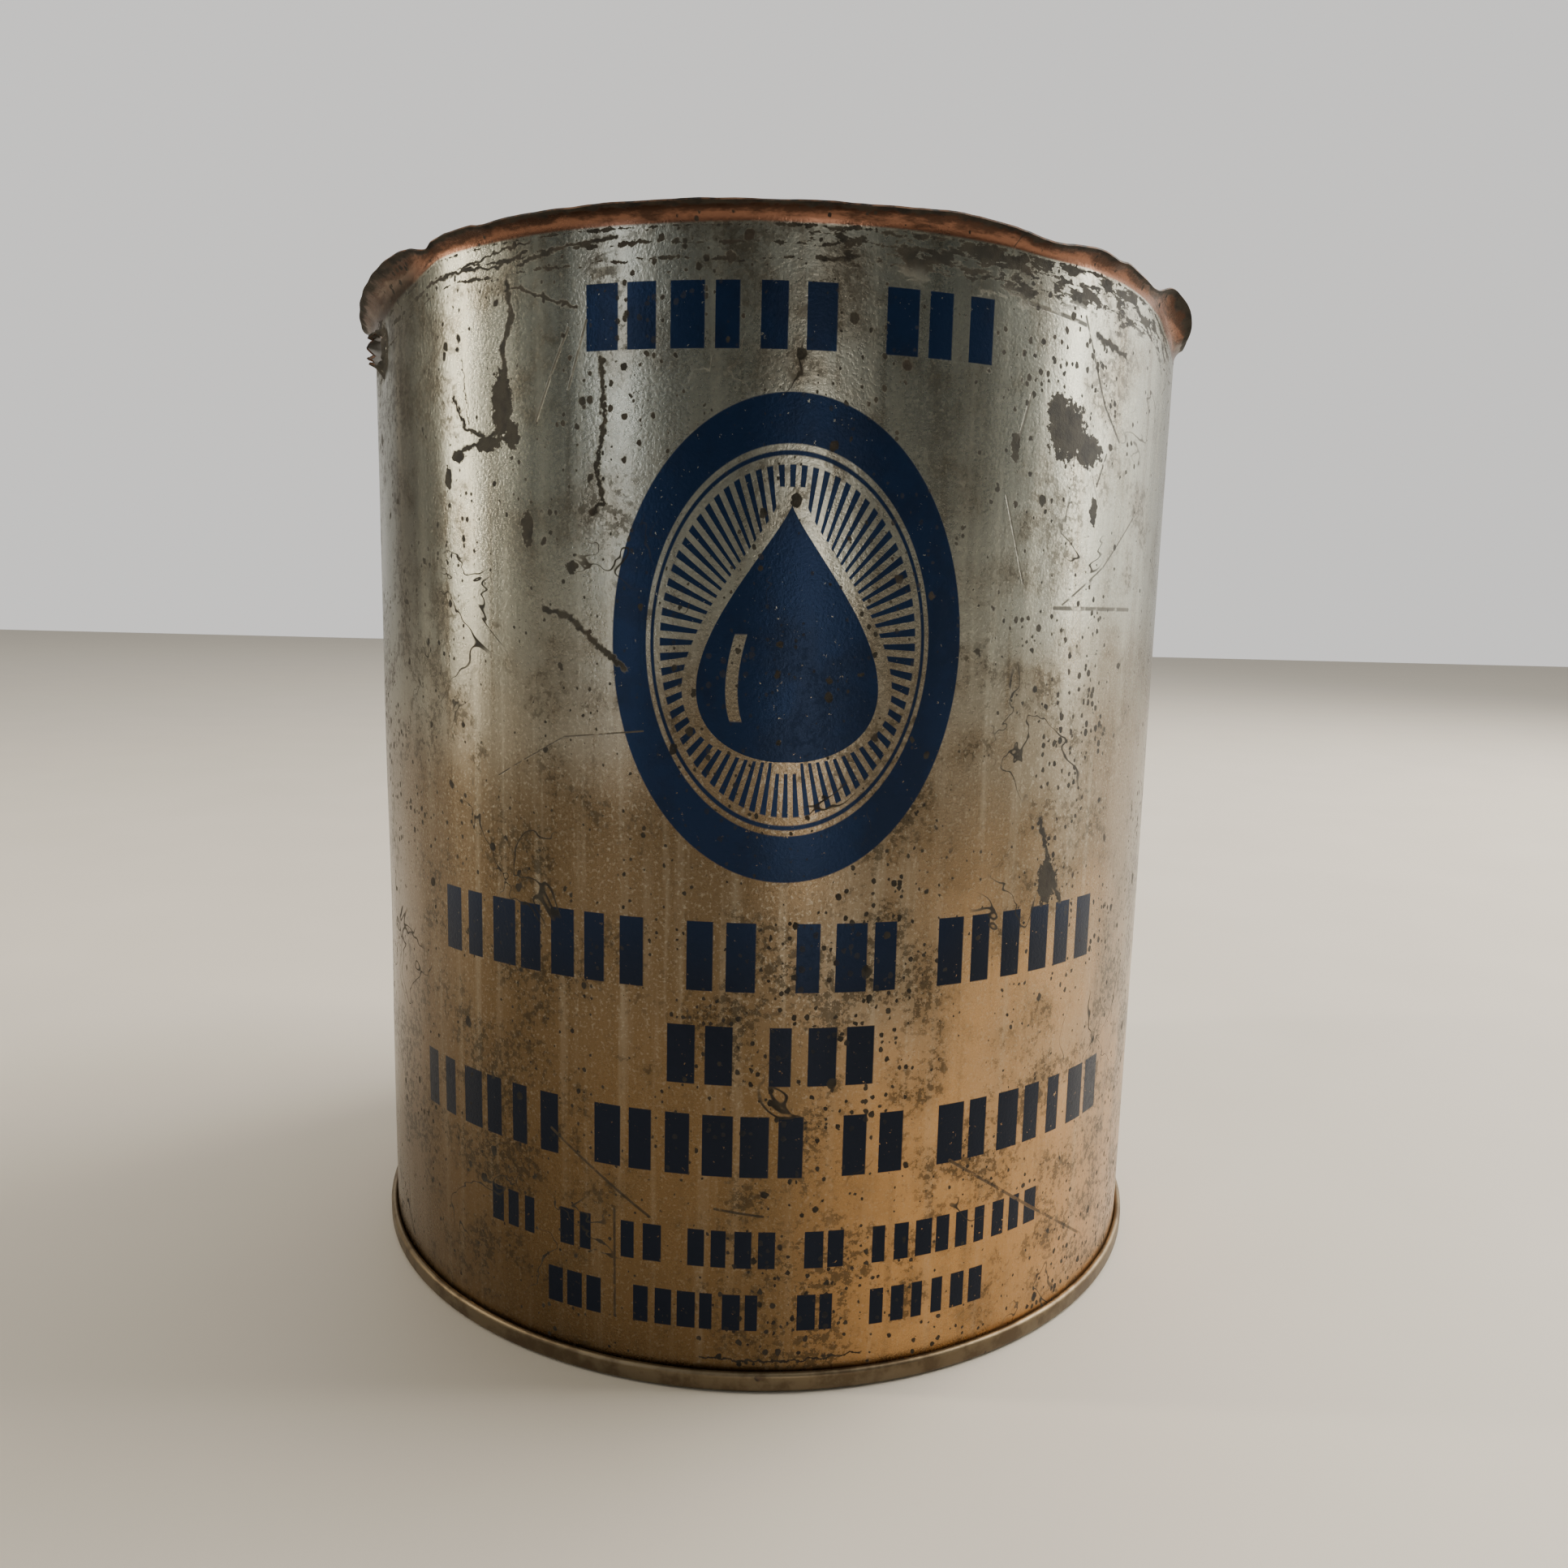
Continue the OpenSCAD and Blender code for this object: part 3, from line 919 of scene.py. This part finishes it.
def tin_outside():
    g = Graph(bpy.data.materials.new("aged_printed_tinplate"))
    vector = place_mm(g)[0]
    course = g.attribute("flat_mm", "Vector")
    flat = g.stretch(course, (1.0, 1.0, 0.0))
    around = g.attribute("around_mm")
    z = g.attribute("height_mm")
    lip = g.attribute("lip_share")
    from_crease = g.attribute("crease_mm")

    cloud = g.noise(vector, 42.0, 3.0, 0.55)
    patch = g.noise(vector, 10.0, 4.0, 0.6)
    streak = g.noise(g.stretch(course, (1.0, 0.035, 0.0)), 3.4, 3.0, 0.6)
    fine = g.noise(vector, 0.50, 3.0, 0.6)
    grit = g.noise(vector, 0.17, 2.0)
    ragged = g.sub(g.noise(flat, 1.1, 4.0, 0.65), 0.5)

    # Corrosion: fine and coarse pits in clusters, wandering lines, cracks, stains and the rim's crust
    cluster = g.step(g.noise(vector, 24.0, 3.0, 0.6), 0.44, 0.66)
    freckles = pits(g, vector, 1.05, g.add(0.28, g.mul(cluster, 0.34)), 3.0)
    specks = pits(g, vector, 2.5, g.add(0.16, g.mul(g.step(patch, 0.44, 0.64), 0.30)), 11.0)
    spots = pits(g, vector, 6.0, g.mul(g.step(cloud, 0.46, 0.66), 0.20), 23.0)
    lines = squiggles(g, flat, 15.0, 0.0075, g.step(g.noise(flat, 33.0, 1.0), 0.56, 0.62))
    wobble = g.mul(ragged, 2.4)
    around_w, z_w = g.add(around, wobble), g.add(z, g.sway(g.noise(flat, 1.7, 3.0), 2.2))
    cracks = strokes(g, around_w, z_w, CRACKS)
    scars = strokes(g, around, z, SCRATCHES)
    scars = g.mul(scars, g.step(g.noise(flat, 2.2, 2.0), 0.30, 0.46))
    large = stains(g, around, z, ragged)
    crust = rim_corrosion(g, course, around, from_crease)
    # Fine broken mottling, like etched lace, where the tin has worn thin
    lace_area = g.step(g.add(patch, g.sway(cloud, 0.7)), 0.40, 0.66)
    lace = g.step(g.add(g.noise(vector, 1.2, 6.0, 0.74), g.mul(lace_area, 0.09)), 0.575, 0.615)
    lace = g.mul(lace, g.between(lace_area, 0.15, 0.62))
    corrosion = g.top(freckles, specks, spots, lines, cracks, large, crust)

    # Bare metal: cool and olive above; a painted warm reflection turns it golden brown towards the foot,
    # with brown clouds and pale painted glints
    # painted warm reflection: golden brown rising from the foot
    painted_warm_reflection = g.mul(g.step(g.add(z, g.sway(cloud, 90.0)), 128.0, 22.0), 0.92)
    metal = g.mix(painted_warm_reflection, TIN_COOL, TIN_WARM_REFLECTION)
    # painted dark reflection: a darker brown band across the middle of the wall
    painted_dark_band = g.band(g.add(z, g.sway(cloud, 60.0)), 62.0, 108.0, 20.0)
    # painted shade and light: the lower wall is darkened except on a stretch to the right, which is left
    # lit
    painted_lit_side = g.band(g.add(around, g.sway(patch, 26.0)), 13.0, 112.0, 12.0)
    painted_shade_low = g.mul(g.flip(painted_lit_side), g.step(z, 114.0, 88.0), 1.4)
    # brown for the painted dark band and the painted shade
    metal = g.mix(g.mul(g.top(painted_dark_band, painted_shade_low), 0.62), metal, TIN_BROWN)
    metal = g.mix(g.mul(g.step(patch, 0.42, 0.70), 0.50), metal, TIN_BROWN)
    # painted glints: pale tin along the vertical streaks and in fine flecks, fewer where the wall is golden
    glint = g.between(painted_warm_reflection, 0.34, 0.09)
    metal = g.mix(g.mul(g.step(streak, 0.50, 0.78), glint), metal, TIN_PAINTED_GLINT)
    metal = g.mix(g.mul(g.step(streak, 0.46, 0.26), 0.38), metal, TIN_BROWN)
    metal = g.mix(g.mul(g.step(grit, 0.55, 0.75), 0.25), metal, CORROSION)
    metal = g.mix(g.mul(g.step(fine, 0.52, 0.72), glint), metal, TIN_PAINTED_GLINT)
    metal = g.mix(lace, metal, CORROSION)
    # lip: copper as a painted warm reflection in the flare, going over to rust brown towards the raw edge,
    # with smeared painted dark lines
    rust_and_dark_line_smear = g.sub(g.noise(g.stretch(course, (0.25, 0.0, 1.0)), 1.6, 4.0, 0.7), 0.5)
    lip_reflection_and_rust = g.mix(g.band(around, -110.0, -64.0, 5.0), LIP_COPPER_REFLECTION, LIP_GREY)
    lip_reflection_and_rust = g.mix(g.step(g.add(lip, g.mul(rust_and_dark_line_smear, 1.8)), 0.24, 0.68), lip_reflection_and_rust, LIP_BROWN)
    metal = g.mix(g.step(lip, 0.02, 0.14), metal, lip_reflection_and_rust)

    # Print: worn through by the pits and scratches, thin in fine specks
    ink = whole_print(g, around, z)
    thin = g.step(g.noise(vector, 0.8, 3.0, 0.7), 0.73, 0.67)
    ink = g.mul(ink, thin, g.flip(g.mul(scars, 0.8)), g.flip(g.mul(large, 0.9)))
    ink = g.mul(ink, g.flip(g.mul(cracks, 0.85)))
    deep = g.step(g.add(z, g.sway(cloud, 30.0)), 92.0, 62.0)
    deep = g.top(deep, g.mul(g.step(patch, 0.42, 0.62), 0.4))
    inked = g.mix(ink, metal, g.mix(deep, INK, INK_DEEP))

    tone = g.mix(g.step(g.noise(vector, 2.2, 2.0), 0.40, 0.64), CORROSION, CORROSION_DARK)
    rusty = g.step(g.noise(vector, 7.0, 2.0), 0.56, 0.70)
    tone = g.mix(g.mul(rusty, g.add(0.12, g.mul(lip, 0.5))), tone, RUST)
    edge_dark = g.step(g.add(lip, g.sway(g.noise(vector, 1.6, 2.0), 0.5)), 0.72, 0.90)
    marks = g.top(corrosion, g.mul(scars, 0.75), edge_dark)
    hidden = g.mul(g.sub(marks, g.mul(ink, freckles, 0.5)), 0.94)
    colour = g.mix(hidden, inked, tone)

    metallic = g.between(hidden, g.between(ink, 1.0, 0.55), 0.12)
    rough = g.add(0.175, g.mul(cloud, 0.10), g.mul(fine, 0.07), g.mul(streak, 0.05))
    rough = g.between(g.top(hidden, g.mul(lace, 0.4)), g.between(ink, rough, 0.34), 0.72)
    height = g.add(g.mul(fine, 0.040), g.mul(patch, 0.03), g.mul(grit, 0.004))
    height = g.sub(height, g.mul(scars, 0.02))
    height = g.sub(height, g.mul(corrosion, g.between(grit, 0.012, -0.008)))
    return g.finish(colour, metallic, rough, height, 0.6, 0.25)


def tin_inside():
    g = Graph(bpy.data.materials.new("bare_tinplate_inside"))
    vector, z = place_mm(g)[:2]
    cloud = g.noise(vector, 34.0, 3.0, 0.6)
    patch = g.noise(vector, 8.0, 4.0, 0.65)
    run = g.noise(g.stretch(vector, (1.0, 1.0, 0.05)), 5.0, 3.0, 0.6)
    fine = g.noise(vector, 0.6, 3.0, 0.6)
    low = g.step(g.add(z, g.sway(cloud, 40.0)), 34.0, 5.0)
    high = g.step(g.add(z, g.sway(patch, 26.0)), 158.0, 175.0)
    metal = g.mix(g.step(cloud, 0.38, 0.64), TIN_COOL, TIN_INSIDE)
    metal = g.mix(g.mul(g.step(run, 0.46, 0.70), 0.5), metal, TIN_BROWN)
    metal = g.mix(g.mul(g.top(low, high), 0.55), metal, RUST_BLOOM)
    freckles = pits(g, vector, 1.5, g.add(0.07, g.mul(g.top(low, high), 0.30)), 5.0)
    spots = pits(g, vector, 4.4, g.add(0.05, g.mul(g.step(patch, 0.44, 0.64), 0.20)), 17.0)
    crust = g.mul(g.step(g.add(patch, g.mul(high, 0.13), g.mul(low, 0.10)), 0.63, 0.69), 0.9)
    burr_far = g.node("ShaderNodeVectorMath", operation="DISTANCE")
    g.put(burr_far.inputs[0], vector)
    g.put(burr_far.inputs[1], tuple(at(HOLE_AZ, WALL_R, HOLE_Z) / MM))
    torn = g.step(g.add(burr_far.outputs["Value"], g.mul(patch, 3.0)), 7.5, 5.5)
    rust = g.top(freckles, spots, crust, torn)
    tone = g.mix(g.step(g.noise(vector, 2.6, 3.0), 0.42, 0.62), RUST, CORROSION_DARK)
    colour = g.mix(g.mul(rust, 0.92), metal, g.mix(torn, tone, BURNT))
    metallic = g.between(rust, 0.95, 0.10)
    rough = g.between(rust, g.add(0.30, g.mul(cloud, 0.14), g.mul(fine, 0.08)), 0.78)
    height = g.add(g.mul(fine, 0.008), g.mul(patch, 0.03))
    height = g.add(height, g.mul(rust, g.between(fine, -0.012, 0.02)))
    return g.finish(colour, metallic, rough, height, 0.3)


def rusty_edge():
    g = Graph(bpy.data.materials.new("raw_rusted_edge"))
    vector = place_mm(g)[0]
    lump = g.noise(vector, 1.4, 4.0, 0.65)
    colour = g.mix(g.step(lump, 0.40, 0.62), CORROSION_DARK, EDGE_RUST)
    colour = g.mix(g.step(g.noise(vector, 5.0, 2.0), 0.58, 0.68), colour, EDGE_BRIGHT)
    return g.finish(colour, g.mul(lump, 0.5), g.add(0.55, g.mul(lump, 0.3)), g.mul(lump, 0.05))


def tin_end():
    g = Graph(bpy.data.materials.new("dull_tinplate_end"))
    vector, z, radius = place_mm(g)
    cloud = g.noise(vector, 26.0, 3.0, 0.6)
    patch = g.noise(vector, 6.0, 4.0, 0.65)
    fine = g.noise(vector, 0.5, 3.0, 0.6)
    metal = g.mix(g.step(cloud, 0.36, 0.64), END_GREY, END_TAN)
    on_seam = g.step(radius, WALL_R_MM - 0.9, WALL_R_MM - 0.2)
    worn = g.mul(on_seam, g.step(g.add(z, g.sway(fine, 0.6)), 2.25, 2.95))
    foot = g.mul(on_seam, g.step(z, 0.55, 0.1))
    # the seam's own dull tan brown, darkened further as painted shade at the can's foot
    metal = g.mix(g.mul(on_seam, 0.85), metal, SEAM_TAN_AND_SHADE)
    metal = g.mix(g.mul(worn, 0.45), metal, SEAM_WORN)
    metal = g.mix(g.mul(on_seam, g.step(patch, 0.42, 0.62), 0.65), metal, SEAM_DARK)
    metal = g.mix(g.mul(foot, 0.6), metal, FOOT_WORN)
    ring_place = g.mul(g.sub(radius, RING_LAST_R / MM), MM / RING_GAP)
    valley = g.math("ABSOLUTE", g.sub(g.math("FRACT", ring_place), 0.5))
    ringed = g.band(radius, 38.0, 72.0, 2.0)
    grime = g.mul(g.step(valley, 0.30, 0.10), ringed, g.step(patch, 0.36, 0.60))
    grime = g.top(grime, g.mul(g.step(patch, 0.56, 0.66), 0.7))
    metal = g.mix(g.mul(grime, 0.55), metal, END_GRIME)
    freckles = pits(g, vector, 1.4, g.add(0.08, g.mul(g.step(cloud, 0.42, 0.64), 0.24)), 7.0)
    spots = pits(g, vector, 4.0, g.mul(g.step(patch, 0.42, 0.62), 0.26), 19.0)
    corner = g.mul(g.band(radius, 72.8, 76.8, 0.8), g.step(patch, 0.42, 0.60))
    rust = g.mul(g.top(freckles, spots, corner), g.flip(g.mul(g.top(worn, foot), 0.7)))
    tone = g.mix(g.step(g.noise(vector, 2.0, 3.0), 0.40, 0.62), RUST, CORROSION_DARK)
    colour = g.mix(g.mul(rust, 0.88), metal, tone)
    metallic = g.between(rust, 0.96, 0.12)
    rough = g.between(rust, g.add(0.34, g.mul(cloud, 0.14), g.mul(fine, 0.08)), 0.76)
    height = g.add(g.mul(fine, 0.009), g.mul(patch, 0.02), g.mul(rust, g.between(fine, -0.012, 0.018)))
    return g.finish(colour, metallic, rough, height)


def dull_solder():
    g = Graph(bpy.data.materials.new("dull_grey_solder"))
    vector = place_mm(g)[0]
    lump = g.noise(g.stretch(vector, (1.0, 1.0, 0.5)), 1.8, 3.0, 0.6)
    cloud = g.noise(vector, 13.0, 2.0)
    colour = g.mix(g.step(lump, 0.36, 0.66), SOLDER_DULL, SOLDER_BRIGHT)
    colour = g.mix(g.mul(g.step(cloud, 0.54, 0.66), 0.7), colour, SOLDER_STAIN)
    specks = pits(g, vector, 1.3, 0.2, 9.0)
    colour = g.mix(g.mul(specks, 0.8), colour, CORROSION_DARK)
    rough = g.add(0.36, g.mul(cloud, 0.22), g.mul(specks, 0.2))
    height = g.sub(g.mul(lump, 0.035), g.mul(specks, 0.02))
    return g.finish(colour, g.between(specks, 0.95, 0.3), rough, height)


def dried_compound():
    g = Graph(bpy.data.materials.new("dried_sealing_compound"))
    vector = place_mm(g)[0]
    lump = g.noise(vector, 1.2, 3.0, 0.6)
    colour = g.mix(g.step(lump, 0.38, 0.64), COMPOUND_DARK, COMPOUND_BROWN)
    return g.finish(colour, 0.0, g.add(0.62, g.mul(lump, 0.2)), g.mul(lump, 0.03))


# -------------------- floor, light and camera

CAN_MIDDLE_Z = (CAD_BOX[0][2] + CAD_BOX[1][2]) / 2
# Close camera, a little above the can's middle and tilted down and to one side
LENS_MM, SENSOR_MM = 26.16, 36.0
EYE = Vector((0.00205, -0.2428, 0.1220))
PITCH, ROLL, YAW = math.radians(8.447), math.radians(1.379), math.radians(0.388)


def pale_floor():
    g = Graph(bpy.data.materials.new("pale_floor"))
    vector = place_mm(g)[0]
    cloud = g.noise(vector, 60.0, 3.0)
    colour = g.mix(cloud, FLOOR_DARK, FLOOR_PALE)
    return g.finish(colour, 0.0, g.add(0.55, g.mul(cloud, 0.1)), g.mul(g.noise(vector, 1.0, 2.0), 0.01))


def make_floor():
    mesh = bpy.data.meshes.new("floor")
    """Wide plain floor, a hair under the can so that their faces don't meet."""
    half = 4.0
    low = CAD_BOX[0][2] - 0.1 * MM
    corners = [(-half, -half, low), (half, -half, low), (half, half, low), (-half, half, low)]
    mesh.from_pydata(corners, [], [(0, 1, 2, 3)])
    make_object("floor", mesh, [pale_floor()])


def make_light(name, az, distance, z, wide, high, power, colour=(1.0, 1.0, 1.0)):
    """Soft rectangular light that faces the middle of the can."""
    lamp = bpy.data.lights.new(name, "AREA")
    lamp.shape = "RECTANGLE"
    lamp.size = wide
    lamp.size_y = high
    lamp.energy = power
    lamp.color = colour
    holder = bpy.data.objects.new(name, lamp)
    holder.location = at(az, distance, z)
    facing = Vector((0.0, 0.0, CAN_MIDDLE_Z)) - holder.location
    holder.rotation_euler = facing.to_track_quat("-Z", "Y").to_euler()
    holder.visible_camera = False
    bpy.context.scene.collection.objects.link(holder)


def make_lights():
    make_light("strip_left", -87, 0.9, 0.55, 0.035, 1.0, 4.6, (1.0, 0.90, 0.72))
    make_light("strip_left_front", -39, 1.1, 0.50, 0.06, 0.9, 1.3, (0.96, 0.98, 1.0))
    make_light("strip_front", 11, 0.9, 0.09, 0.08, 0.18, 0.6, (1.0, 0.93, 0.84))
    make_light("strip_right", 88, 0.9, 0.45, 0.08, 0.7, 2.4, (1.0, 0.95, 0.84))
    make_light("panel_right", 106, 1.0, 0.50, 0.8, 0.9, 3.4, (1.0, 0.96, 0.86))
    make_light("panel_back", 112, 1.2, 1.15, 1.0, 1.0, 36.0, (1.0, 0.97, 0.92))
    make_light("panel_top", 172, 1.4, 2.6, 3.0, 3.0, 24.0, (1.0, 0.985, 0.96))


def make_world():
    """Room that the can mirrors: dim in front, bright to the right and behind, with a pale backdrop."""
    world = bpy.data.worlds.new("soft_room")
    bpy.context.scene.world = world
    g = Graph(world)
    split = g.node("ShaderNodeSeparateXYZ")
    g.put(split.inputs[0], g.node("ShaderNodeTexCoord").outputs["Generated"])
    x, y, up = split.outputs
    az = g.mul(g.math("ARCTAN2", x, g.mul(y, -1.0)), 180.0 / math.pi)
    right = g.mul(g.step(az, 60.0, 92.0), 0.60)
    back_left = g.mul(g.step(az, -126.0, -140.0), 0.62)
    left = g.mul(g.band(az, -88.0, -58.0, 10.0), 0.09)
    brown = g.band(az, -130.0, -119.0, 4.0)
    above = g.mul(g.step(up, 0.35, 0.85), 0.30)
    level = g.add(0.07, right, back_left, left, above, g.mul(brown, 0.14))
    room = g.mix(g.step(level, 0.08, 0.6), (0.84, 0.96, 0.96), (1.0, 0.97, 0.90))
    room = g.mix(g.mul(brown, 0.8), room, (1.0, 0.70, 0.46))
    seen = g.node("ShaderNodeLightPath").outputs["Is Camera Ray"]
    light = g.node("ShaderNodeBackground")
    g.put(light.inputs["Color"], g.mix(seen, room, (1.0, 0.98, 0.955)))
    g.put(light.inputs["Strength"], g.between(seen, level, 0.90))
    out = g.node("ShaderNodeOutputWorld")
    g.put(out.inputs["Surface"], light.outputs[0])


def make_camera():
    forward = Vector((math.sin(YAW) * math.cos(PITCH), math.cos(YAW) * math.cos(PITCH), -math.sin(PITCH)))
    right = Vector((math.cos(YAW), -math.sin(YAW), 0.0))
    up = right.cross(forward)
    side = right * math.cos(ROLL) + up * math.sin(ROLL)
    above = up * math.cos(ROLL) - right * math.sin(ROLL)
    lens = bpy.data.cameras.new("camera")
    lens.lens = LENS_MM
    lens.sensor_width = SENSOR_MM
    lens.clip_start = 0.01
    holder = bpy.data.objects.new("camera", lens)
    bpy.context.scene.collection.objects.link(holder)
    turn = Matrix((side, above, -forward)).transposed().to_4x4()
    holder.matrix_world = Matrix.Translation(EYE) @ turn
    bpy.context.scene.camera = holder


# -------------------- assembly

def finish_piece(piece, slot, *nodes):
    """Rides a piece on the can and hides the CAD nodes that it stands for; slot is not used."""
    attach(piece, "root")
    if nodes:
        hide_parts(*nodes)


make_camera()
make_world()
make_lights()
make_floor()
finish_piece(make_body(), "body_tinplate", "body_shell")
finish_piece(make_lock(), "body_tinplate")
finish_piece(make_end(), "end_tinplate", "bottom_end")
finish_piece(make_solder(), "solder", "side_seam_solder")
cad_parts["seam_compound"].data.materials.clear()
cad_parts["seam_compound"].data.materials.append(dried_compound())
